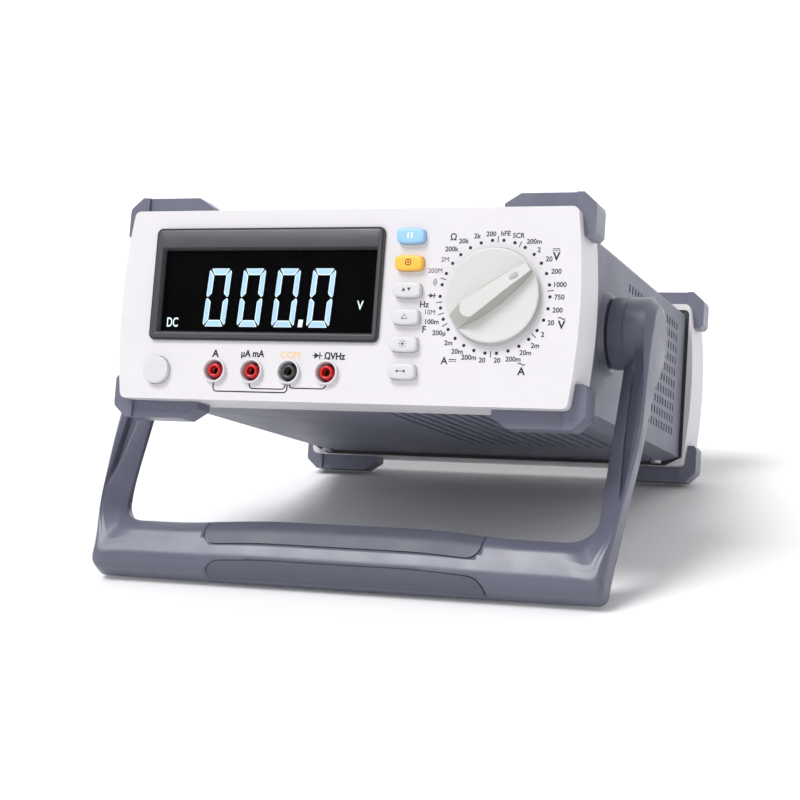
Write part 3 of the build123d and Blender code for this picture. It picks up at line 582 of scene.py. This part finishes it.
def handle_stations():
    """(point on the inner outline, direction outwards, section corners, radii), right arm to left."""
    half = []
    for i in range(13):
        s = -HUB_R * cos(radians(2 + 88 * i / 12))
        width, corners = arm_section(s)
        half.append(((INNER_X, s), (1.0, 0.0), corners, CORNER_RADII))
    s = 1.0
    while s < CROOK_S - 0.5:
        width, corners = arm_section(s)
        half.append(((INNER_X, s), (1.0, 0.0), corners, CORNER_RADII))
        s += 1.0 if s < 24 else 2.2
    width, last = arm_section(CROOK_S)
    bar_width = BAR_BOTTOM - BAR_TOP
    for i in range(49):
        t = i / 48
        angle = t * pi / 2
        reach = outline_hit(angle) - CROOK
        blend = ease(t)
        corners = [(mix(a[0] / width, b[0] / bar_width, blend) * reach, mix(a[1], b[1], blend))
                   for a, b in zip(last, BAR_SECTION)]
        radii = [mix(a, b, blend) for a, b in zip(CORNER_RADII, BAR_RADII)]
        inner = (CROOK_X + CROOK * cos(angle), CROOK_S + CROOK * sin(angle))
        half.append((inner, (cos(angle), sin(angle)), corners, radii))
    x = CROOK_X - 2.0
    while x > 0.5:
        stretch = (BAR_BOTTOM - bar_top(x)) / bar_width
        corners = [(a * stretch, n) for a, n in BAR_SECTION]
        half.append(((x, bar_top(x)), (0.0, 1.0), corners, BAR_RADII))
        x -= 3.0
    other = [((-i[0], i[1]), (-d[0], d[1]), c, r) for i, d, c, r in reversed(half)]
    return half + other


def section_points(station, steps=4):
    """Rounded section of the handle at a station, as points in the handle frame."""
    (x, s), (dx, ds), corners, radii = station
    points = []
    for a, n in rounded([(a, n) for a, n in corners], radii, steps):
        points.append((x + dx * a, -n, -(s + ds * a)))
    return points


rings = [section_points(st) for st in handle_stations()]
handle = piece("handle_frame", *loft(rings), HANDLE, "handle", M["handle_plastic"], "handle_plastic", 30)
hubs = []
for side in (-1, 1):
    profile = [(111.6, 7.3), (111.6, 15.8), (111.9, 16.6), (112.5, 17.05), (113.2, 17.2),
               (INNER_X + 1.5, 17.2), (INNER_X + 1.5, 7.3)]
    hubs.append(lathe([(side * x, r) for x, r in profile], (0, 0, 0), "x", closed=True))
piece("handle_hubs", *joined(hubs), HANDLE, "handle", M["handle_plastic"], "handle_plastic")


def bar_path(x, grow, first, last):
    """Points (s, n) along the crossbar's skin at x, grown outwards, between two fractions of the way
    from the rear of the top edge, over the front, to the rear of the bottom edge."""
    stretch = (BAR_BOTTOM - bar_top(x)) / (BAR_BOTTOM - BAR_TOP)
    ring = rounded([(a * stretch, n) for a, n in BAR_SECTION], BAR_RADII, 4)
    path = ring[2:] + ring[:2]
    centre = Vector((13.0, 2.0))
    lengths = [0.0]
    for p, q in zip(path, path[1:]):
        lengths.append(lengths[-1] + (q - p).length)
    out = []
    for k in range(25):
        goal = mix(first, last, k / 24)
        i = max(j for j in range(len(path) - 1) if lengths[j] <= goal + 1e-6)
        span = max(lengths[i + 1] - lengths[i], 1e-6)
        spot = path[i].lerp(path[i + 1], min(1.0, (goal - lengths[i]) / span))
        tangent = (path[i + 1] - path[i]).normalized()
        normal = Vector((tangent.y, -tangent.x))
        if normal.dot(spot - centre) < 0:
            normal = -normal
        spot = spot + normal * grow
        out.append((x, -spot.y, -(bar_top(x) + spot.x)))
    return out


def grip_strip(x0, x1, first, last, radius, high, low, grow, top_side):
    """A pad wrapped over the crossbar from x0 to x1, between two distances round its skin. The end
    of the wrap that shows from the front has round corners."""
    stations = []
    count = 60
    for i in range(count + 1):
        t = i / count
        x = mix(x0 - grow, x1 + grow, (1 - cos(pi * t)) / 2)
        gap = min(x - (x0 - grow), (x1 + grow) - x)
        cut = 0.0
        if gap < radius:
            cut = radius - sqrt(max(radius ** 2 - (radius - gap) ** 2, 0.0))
        a, b = first - grow, last + grow
        if top_side:
            b -= cut
        else:
            a += cut
        outer = bar_path(x, high, a, b)
        inner = bar_path(x, low, a, b)
        stations.append(outer + inner[::-1])
    return loft(stations)


PAD_CORNER = 7.0
PADS = (("grip_pad_upper", -68.5, 69.4, 2.0, 25.8, True), ("grip_pad_lower", -65.5, 72.0, 34.6, 45.5, False))
for name, x0, x1, first, last, top_side in PADS:
    pocket = grip_strip(x0, x1, first, last, PAD_CORNER, 1.5, -0.8, 0.45, top_side)
    skin = grip_strip(x0, x1, first, last, PAD_CORNER, 0.12, -0.75, 0.0, top_side)
    cutter = piece(name + "_cut", *pocket, HANDLE, "handle", M["handle_plastic"], "handle_plastic")
    mod = handle.modifiers.new("pocket", "BOOLEAN")
    mod.operation = "DIFFERENCE"
    mod.solver = "EXACT"
    mod.object = cutter
    graph = bpy.context.evaluated_depsgraph_get()
    mesh = bpy.data.meshes.new_from_object(handle.evaluated_get(graph))
    handle.modifiers.clear()
    handle.data = mesh
    bpy.data.objects.remove(cutter)
    pad = piece(name + "_skin", *skin, HANDLE, "handle", M["grip_rubber"], "grip_rubber")
    edge = pad.modifiers.new("round", "BEVEL")
    edge.width = 0.35 * MM
    edge.segments = 2
    edge.limit_method = "ANGLE"
    edge.angle_limit = radians(50)
    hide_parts(name)
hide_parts("handle")

# ------------------------------------------------------------------ range dial
DIAL = at_front(dial_at)
plate = [(-0.6, 4.0), (-0.6, 21.0), (-0.7, 21.45), (-0.9, 21.6), (-1.4, 21.6), (-1.75, 21.5), (-1.95, 21.2),
         (-2.0, 20.75), (-1.9, 20.1), (-1.75, 18.6), (-1.6, 16.5), (-1.5, 12.0), (-1.4, 6.0), (-1.4, 0.3)]
dial = piece("dial_plate", *lathe(plate, (0, 0, 0)), DIAL, "dial", M["dial_plastic"], "dial_plastic", 50)

WING_TURN = radians(54)
wing_top = [(-21.2, 3.85), (-12.7, 4.2), (0, 3.55), (14, 2.7), (21.2, 2.1)]
wing_foot = [(-21.2, 3.95), (-18.7, 4.2), (-11.4, 5.6), (0, 6.1), (11, 5.0), (19, 3.1), (21.2, 2.2)]
WING_PROUD = -6.9
WING_COLUMNS = 25
WING_REACH = 21.5


def along_wing(u, v):
    """Place (x, z) on the dial from distances along the grip bar and across it."""
    return u * sin(WING_TURN) + v * cos(WING_TURN), u * cos(WING_TURN) - v * sin(WING_TURN)


def wing():
    """The grip bar: level on top, its tail falling away to the rim, its flanks hollowed."""
    columns = [-1 + 2 * k / 12 for k in range(13)]
    rings = []
    stops = [("tail", t) for t in (0, 0.12, 0.25, 0.4, 0.55, 0.7, 0.85, 0.97)]
    stops += [("top", t / 24) for t in range(25)]
    for kind, t in stops:
        ring_top = []
        for c in columns:
            crest = -12.6 - 2.6 * (1 - c * c)
            if kind == "tail":
                u = mix(-21.2, crest, t)
                lift = mix(-2.05, WING_PROUD, t)
            else:
                u = mix(crest, 21.2, t)
                lift = WING_PROUD + 1.5 * ease((u - 6) / 15)
            half = smooth_table(wing_top, u)
            ring_top.append((u, c * half, lift))
        u_low = ring_top[0][0]
        u_high = ring_top[-1][0]
        foot_low = smooth_table(wing_foot, u_low)
        foot_high = smooth_table(wing_foot, u_high)
        left = []
        for k in range(6):
            f = k / 6
            half_top = abs(ring_top[0][1])
            v = mix(foot_low, half_top, f ** 0.7)
            left.append((u_low, -v, mix(-1.1, ring_top[0][2] + 0.25, f)))
        right_side = [(u_high, mix(foot_high, abs(ring_top[-1][1]), (k / 6) ** 0.7),
                       mix(-1.1, ring_top[-1][2] + 0.25, k / 6)) for k in range(5, -1, -1)]
        shoulder = [(u, v * 0.985, y) for u, v, y in ring_top]
        rings.append(left + shoulder + right_side)
    turned = []
    for ring in rings:
        out = []
        for u, v, y in ring:
            x, z = along_wing(u, v)
            far = hypot(x, z)
            if far > WING_REACH:
                x, z = x * WING_REACH / far, z * WING_REACH / far
            out.append((x, y, z))
        turned.append(out)
    return loft(turned)


grip = piece("dial_wing", *wing(), DIAL, "dial", M["dial_plastic"], "dial_plastic", 32)
# painted shade: the tail and flank faces of the grip bar take the greyer dial colour
grip.data.materials.append(M["dial_painted_shade"])
for face in grip.data.polygons:
    rows = [v // WING_COLUMNS for v in face.vertices]
    columns = [v % WING_COLUMNS for v in face.vertices]
    if min(rows) < 7 or min(columns) < 6 or max(columns) > 18:
        face.material_index = 1
dimple = []
for j in range(40):
    a = 2 * pi * j / 40
    dimple.append(along_wing(13.4 + 2.3 * cos(a), 0.8 * sin(a)))
piece("dial_pointer_mark", *plate_of(dimple, WING_PROUD + 0.3, WING_PROUD + 0.14), DIAL, "dial",
      M["mark_grey"], "dial_plastic")
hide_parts("range_dial")
ring = [(0.2, 22.2), (-0.06, 22.25), (-0.16, 22.45), (-0.1, 22.8), (0.2, 22.95)]
rim = lathe([(PANEL_Y + y, r) for y, r in ring], (0, 0, 0), closed=True, count=128)
piece("dial_well_rim", *rim, DIAL, "case", M["panel_plastic"], "panel_plastic")

# ------------------------------------------------------------------ keys and power button
KEY_HALF = (6.65, 3.5)
keys = (("key_hold", "button_blue"), ("key_select", "button_amber"), ("key_max_min", "button_white"),
        ("key_relative", "button_white"), ("key_light", "button_white"), ("key_link", "button_white"))
KEY_FACE = -1.6
KEY_CAP = ((0.0, 2.6), (0.0, -0.7), (0.06, -1.0), (0.25, -1.28), (0.6, -1.45), (1.1, -1.53), (1.9, -1.58),
           (2.9, KEY_FACE))      # inset and depth, from the back to the face
KEY_COLLAR = ((-0.6, 2.4), (-0.6, 1.9), (-0.2, 1.9), (-0.12, 1.97), (-0.12, 2.4), (-0.6, 2.4))


def key_ring(inset, y, count=72):
    """Key outline: upright sides, arched top and bottom, drawn in by inset."""
    ring = []
    hx, hz = KEY_HALF[0] - inset, KEY_HALF[1] - 0.45 - inset
    for j in range(count):
        a = 2 * pi * j / count
        c, s = cos(a), sin(a)
        x = hx * abs(c) ** 0.36 * (1 if c >= 0 else -1)
        z = hz * abs(s) ** 0.42 * (1 if s >= 0 else -1)
        z += 0.5 * (1 if s >= 0 else -1) * (1 - (x / hx) ** 2) * min(1.0, abs(s) * 4)
        ring.append((x, y, z))
    return ring


for name, slot in keys:
    centre = middle(name)
    layers = [key_ring(inset, y) for inset, y in KEY_CAP]
    cap = piece(name + "_cap", *loft(layers), at_front(centre), name, M[slot], slot, 60)
    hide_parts(name)

collars = []
for name, slot in keys:
    centre = middle(name)
    wall = [[(x + centre.x, y, z + centre.z) for x, y, z in key_ring(*step)] for step in KEY_COLLAR]
    collars.append(loft(wall, close_ends=False))
profile = [(2.4, 7.3), (1.9, 7.3), (1.9, 6.9), (1.97, 6.82), (2.4, 6.82)]
collars.append(lathe(profile, (POWER_AT[0], 0, POWER_AT[1]), closed=True))
piece("control_collars", *joined(collars), CASE, "case", M["panel_plastic"], "panel_plastic")
profile = [(3.4, 0.3), (3.4, 6.6), (-0.35, 6.6), (-0.6, 6.5), (-0.72, 6.2), (-0.72, 5.5), (-0.6, 3.0),
           (-0.56, 0.3)]
cap = piece("power_button_cap", *lathe(profile, (POWER_AT[0], 0, POWER_AT[1])), CASE, "power_button",
            M["button_white"], "button_white", 50)
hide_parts("power_button")


def disc(x, z, r, count=20):
    """Round outline in (x, z)."""
    return [(x + r * cos(2 * pi * j / count), z + r * sin(2 * pi * j / count)) for j in range(count)]


def blob(x, z, r):
    """Printed dot on a key's face."""
    return plate_of(disc(x, z, r), KEY_FACE + 0.02, KEY_FACE - 0.04)


def line(points, width):
    """Printed line on a key's face."""
    return stroke(points, width, KEY_FACE + 0.02, KEY_FACE - 0.04)


def tri(x, z, half, way):
    """Printed triangle on a key's face, pointing up or down."""
    corners = [(x - half, z - way * half * 0.8), (x + half, z - way * half * 0.8), (x, z + way * half * 0.9)]
    return plate_of(corners[::way], KEY_FACE + 0.02, KEY_FACE - 0.04)


ring_line = [(1.35 * cos(pi * j / 12), 1.35 * sin(pi * j / 12)) for j in range(25)]
sun_rays = []
for k in range(8):
    ray = Vector((cos(k * pi / 4), sin(k * pi / 4)))
    sun_rays.append(line([ray * 1.15, ray * 1.8], 0.32))
key_marks = (
    ("key_hold", "key_mark_white", [line([(x, -1.35), (x, 1.35)], 0.75) for x in (-0.85, 0.85)]),
    ("key_select", "key_mark_brown", [line(ring_line, 0.45), blob(0, 0, 0.5)]),
    ("key_max_min", "key_mark_dark", [tri(-1.3, 0, 0.95, 1), tri(1.3, 0, 0.95, -1)]),
    ("key_relative", "key_mark_dark", [line([(-1.35, -1.0), (0, 1.2), (1.35, -1.0), (-1.35, -1.0)], 0.38)]),
    ("key_light", "key_mark_dark", sun_rays + [blob(0, 0, 0.62)]),
    ("key_link", "key_mark_dark", [blob(-1.7, 0, 0.55), blob(1.7, 0, 0.55),
                                   line([(-1.7, 0), (1.7, 0)], 0.35)]),
)
for name, finish, parts in key_marks:
    centre = middle(name)
    piece(name + "_mark", *joined(parts), at_front(centre), name, M[finish], "inner_plastic")

# ------------------------------------------------------------------ input jacks
JACK_RIM = [(2.2, 5.75), (-0.05, 5.7), (-0.22, 5.45), (-0.2, 5.1), (0.1, 4.88), (0.6, 4.75), (13.0, 4.6),
            (13.0, 5.0), (2.2, 5.0)]
JACK_TUBE = [(12.0, 4.55), (8.4, 4.5), (8.0, 4.2), (7.8, 3.4), (1.0, 3.15), (0.62, 3.05), (0.42, 2.8),
             (0.4, 2.4), (0.5, 2.12), (0.8, 2.02), (12.0, 2.02)]
JACK_LINER = [(3.6, 2.0), (3.4, 1.8), (3.6, 1.62), (18.0, 1.6), (18.0, 2.0)]
rims, reds, blacks, contacts = [], [], [], []
for name, spot in zip(jack_names, jack_at):
    centre = (spot.x, 0, spot.z)
    rims.append(lathe(JACK_RIM, centre, closed=True))
    tubes = blacks if name == "jack_common" else reds
    tubes.append(lathe(JACK_TUBE, centre, closed=True))
    contacts.append(lathe(JACK_LINER, centre, closed=True))
well = piece("jack_rims", *joined(rims), CASE, "case", M["panel_plastic"], "panel_plastic")
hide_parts("jack_wells")
tube = piece("jack_tubes_red", *joined(reds), CASE, "case", M["jack_red"], "jack_red")
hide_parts("jack_sleeves_red")
tube = piece("jack_tube_black", *joined(blacks), CASE, "case", M["jack_black"], "jack_black")
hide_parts("jack_sleeve_black")
liner = piece("jack_liners", *joined(contacts), CASE, "case", M["contact_brass"], "contact_brass")
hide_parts("jack_contacts")

# ------------------------------------------------------------------ display
OUTER = ((-38.5, 9.6), (57.7, 25.9))       # middle and half size of the surround
WINDOW = ((-37.85, 6.55), (54.25, 19.45))   # and of the window in it


def rect_ring(box, grow, y, radius):
    """Rounded rectangle at this depth, grown outwards, eight points to a corner."""
    (mid_x, mid_z), (half_x, half_z) = box
    ring = []
    for k, (sx, sz) in enumerate(((1, 1), (-1, 1), (-1, -1), (1, -1))):
        cx = mid_x + sx * (half_x + grow - radius)
        cz = mid_z + sz * (half_z + grow - radius)
        for j in range(8):
            a = pi / 2 * (k + j / 7)
            ring.append((cx + radius * cos(a), y, cz + radius * sin(a)))
    return ring


SURROUND = ((OUTER, 0, 3.0, 2.2), (OUTER, 0, 0.1, 2.2), (OUTER, -0.25, -0.2, 2.0), (OUTER, -0.7, -0.35, 1.8),
            (WINDOW, 1.5, -0.35, 1.0), (WINDOW, 1.1, -0.15, 0.8), (WINDOW, 0.2, 1.5, 0.4),
            (WINDOW, 0, 2.1, 0.3), (WINDOW, 0, 3.0, 0.3))
# painted shade: dark walls lining the opening round the display surround stand in for the shadow in that gap
GAP_SHADE_WALLS = ((OUTER, 0.95, 2.4, 2.9), (OUTER, 0.95, 0.6, 2.9), (OUTER, -0.3, 0.6, 2.0), (OUTER, -0.3, 2.4, 2.0))
rings = [rect_ring(*step) for step in SURROUND]
surround = piece("display_bezel", *loft(rings, close_ends=False), CASE, "case", M["display_frame"],
                 "display_frame", 25)
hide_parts("display_surround")
gap = [rect_ring(*step) for step in GAP_SHADE_WALLS]
piece("display_gap_shade", *loft(gap, close_ends=False), CASE, "case", M["inner_plastic"], "inner_plastic")
backing = [rect_ring(WINDOW, 0.3, y, 0.3) for y in (2.6, 2.2)]
glass = piece("display_glass", *loft(backing), CASE, "case", M["window_clear"], "window_clear")
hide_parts("display_window")


# ------------------------------------------------------------------ printed marks and digits
def on_dial(radius, degrees_clockwise):
    """Place on the panel, round the dial's axis."""
    a = radians(degrees_clockwise)
    return dial_at.x + radius * sin(a), dial_at.z + radius * cos(a)


DOT_R = 0.78
DOT_RING_R = 25.74
BAR_FROM, BAR_TO = 24.6, 27.5    # radii between which the separators run
LABEL_H = 2.2
dots = [plate_of(disc(*on_dial(DOT_RING_R, 6 + 12 * k), DOT_R)) for k in range(30)]
piece("dial_dots", *joined(dots), CASE, "case", M["ink"], "inner_plastic")

bars = []
for angle in (0, 24, 84, 132, 180, 240, 252, 264, 288):
    bars.append(stroke([on_dial(BAR_FROM, angle), on_dial(BAR_TO, angle)], 0.42))
piece("dial_separators", *joined(bars), CASE, "case", M["ink_soft"], "inner_plastic")

# Radius in millimetres, degrees clockwise from the top, and what stands there.
SCALE = ((29.0, 6.8, "hFE"), (29.4, 19, "SCR"), (30.2, 34, "200m"), (28.8, 42.4, "2"), (29.7, 54.9, "20"),
         (30.3, 67.7, "200"), (30.7, 79.6, "1000"), (30.1, 90.2, "750"), (30.2, 101.3, "200"),
         (29.3, 113.3, "20"), (28.9, 125.7, "2"), (29.8, 137.1, "2m"), (29.8, 147.4, "20m"),
         (30.0, 159.4, "200m"), (28.9, 173.7, "20"), (29.0, 187.6, "20"), (29.4, 200.2, "200m"),
         (29.6, 212.4, "20m"), (29.3, 223.8, "2m"), (30.3, 236, "200µ"), (31.1, 248, "100m"),
         (30.9, 256.4, "10M"), (31.3, 292.2, "200M"), (29.9, 304.7, "2M"), (30.7, 315.2, "200k"),
         (30.1, 327.6, "20k"), (29.4, 340.5, "2k"), (28.8, 353.2, "200"))
labels = []
for radius, angle, words in SCALE:
    bold = 0.0 if "M" in words else 0.035
    labels.append(text_mesh(words, LABEL_H, *on_dial(radius, angle), INK_Y, bold))
piece("dial_numerals", *joined(labels), CASE, "case", M["ink_soft"], "inner_plastic")

# Letters, their height, their place across and up, and how much bolder they are.
UNITS = (("Ω", 3.0, 53.0, 31.8, 0.03), ("V", 3.6, 101.8, 22.6, 0.04), ("V", 3.6, 106.0, -8.1, 0.04),
         ("A", 3.4, 88.9, -29.0, 0.04), ("A", 3.2, 52.5, -24.9, 0.03), ("F", 3.0, 41.9, -10.8, 0.03),
         ("Hz", 2.7, 41.2, 0.7, 0.03))
units = [text_mesh(words, height, x, z, INK_Y, bold) for words, height, x, z, bold in UNITS]
for x, z in ((101.6, 25.6), (56.4, -24.7)):
    units.append(stroke([(x - 1.7, z + 0.4), (x + 1.7, z + 0.4)], 0.4))
    for k in (-1, 0, 1):
        units.append(stroke([(x + k * 1.3 - 0.42, z - 0.45), (x + k * 1.3 + 0.42, z - 0.45)], 0.4))
for x, z in ((105.9, -5.2), (88.8, -25.9)):
    wave = [(x + 3.2 * (t / 12 - 0.5), z + 0.45 * sin(2 * pi * t / 12)) for t in range(13)]
    units.append(stroke(wave, 0.45))
piece("unit_marks", *joined(units), CASE, "case", M["ink"], "inner_plastic")

diode = [stroke([(42.4, 4.7), (46.6, 4.7)], 0.35), stroke([(45.6, 3.5), (45.6, 5.9)], 0.45),
         plate_of([(43.4, 3.6), (45.5, 4.7), (43.4, 5.8)])]
for k in (1, 2, 3):
    arc = [(44.2 + 0.7 * k * cos(a * pi / 16), 10.9 + 0.7 * k * sin(a * pi / 16)) for a in range(-5, 6)]
    diode.append(stroke(arc, 0.3))
piece("symbol_marks", *joined(diode), CASE, "case", M["ink_soft"], "inner_plastic")

ja, jm, jc, jv = jack_at
names = [text_mesh("A", 3.3, ja.x - 0.5, -23.3, INK_Y, 0.05),
         text_mesh("µA mA", 3.1, jm.x - 0.2, -23.5, INK_Y, 0.05, 0.92),
         text_mesh("ΩVHz", 3.1, jv.x + 3.4, -23.6, INK_Y, 0.05, 0.92),
         stroke([(-12.0, -23.6), (-6.9, -23.6)], 0.4), stroke([(-8.3, -25.2), (-8.3, -22.0)], 0.5),
         plate_of([(-11.0, -25.1), (-8.5, -23.6), (-11.0, -22.1)])]


def bracket(x0, x1, top, drop, width):
    """A squared-off U under two jacks, with rounded corners."""
    r = 1.8
    path = [(x0, top)]
    for k in range(7):
        a = pi + pi / 2 * k / 6
        path.append((x0 + r + r * cos(a), drop + r + r * sin(a)))
    for k in range(7):
        a = 1.5 * pi + pi / 2 * k / 6
        path.append((x1 - r + r * cos(a), drop + r + r * sin(a)))
    path.append((x1, top))
    return stroke(path, width)


names.append(bracket(ja.x - 0.4, jc.x - 0.45, -37.0, -41.2, 0.6))
names.append(bracket(jm.x - 0.8, jc.x - 1.5, -37.0, -39.6, 0.55))
names.append(bracket(jc.x + 0.6, jv.x - 0.2, -37.0, -39.0, 0.55))
piece("jack_marks", *joined(names), CASE, "case", M["ink"], "inner_plastic")
common = text_mesh("COM", 3.1, jc.x, -23.5, INK_Y, 0.0)
piece("jack_mark_common", *common, CASE, "case", M["ink_orange"], "button_amber")

DIGIT_Y = 2.12
DIGIT_W = 11.6
DIGIT_H = 27.8
DIGIT_FOOT = -10.5
DIGIT_FIRST_X = -69.95
DIGIT_PITCH = 17.8
SLANT = 0.058
RIM = 0.42       # pale edge left round the lit part of a segment


def segment_outlines():
    """The six lit segments of a nought, in the digit's own box."""
    w, h = DIGIT_W, DIGIT_H
    tv, th = 2.6, 3.1    # width of an upright segment and of a level one
    g = 0.28             # gap between segments
    m = h / 2
    top = [(0.9 + g, h - 0.15), (1.5, h), (w - 1.5, h), (w - 0.9 - g, h - 0.15), (w - tv - g, h - th),
           (tv + g, h - th)]
    left = [(0.45, h - 0.75), (0.05, h - 1.6), (0, m + 1.4), (0.4, m + 0.45), (0.9, m + 0.35), (tv, m + 2.0),
            (tv, h - th - g)]
    flip_x = [(w - x, z) for x, z in left][::-1]
    shapes = [top, left, flip_x]
    return shapes + [[(x, h - z) for x, z in s][::-1] for s in shapes]


def slanted(points, x0, z0):
    """Segment outline set at (x0, z0) and leaning to the right."""
    return [(x0 + x + SLANT * z, z0 + z) for x, z in points]


def drawn_in(points, by):
    """Outline shrunk towards its middle, by this much at each end."""
    cx = sum(p[0] for p in points) / len(points)
    cz = sum(p[1] for p in points) / len(points)
    wide = max(abs(p[0] - cx) for p in points)
    tall = max(abs(p[1] - cz) for p in points)
    return [(cx + (x - cx) * (1 - by / wide), cz + (z - cz) * (1 - by / tall)) for x, z in points]


edges, fills = [], []
for k in range(4):
    x0 = DIGIT_FIRST_X + DIGIT_PITCH * k
    for outline in segment_outlines():
        shape = slanted(outline, x0, DIGIT_FOOT)
        edges.append(plate_of(shape, DIGIT_Y + 0.1, DIGIT_Y))
        fills.append(plate_of(drawn_in(shape, RIM), DIGIT_Y, DIGIT_Y - 0.03))
point = [(-20.7, -10.4), (-18.5, -10.4), (-18.2, -6.9), (-20.4, -6.9)]
edges.append(plate_of(point, DIGIT_Y + 0.1, DIGIT_Y))
edges.append(text_mesh("DC", 4.4, -85.9, -8.6, DIGIT_Y, narrow=0.68, bold=0.02))
edges.append(text_mesh("V", 4.1, 9.8, 0.1, DIGIT_Y, narrow=0.85, bold=0.02))
piece("display_digit_edges", *joined(edges), CASE, "case", M["digit_edge"], "backlight")
piece("display_digits", *joined(fills), CASE, "case", M["digit"], "backlight")
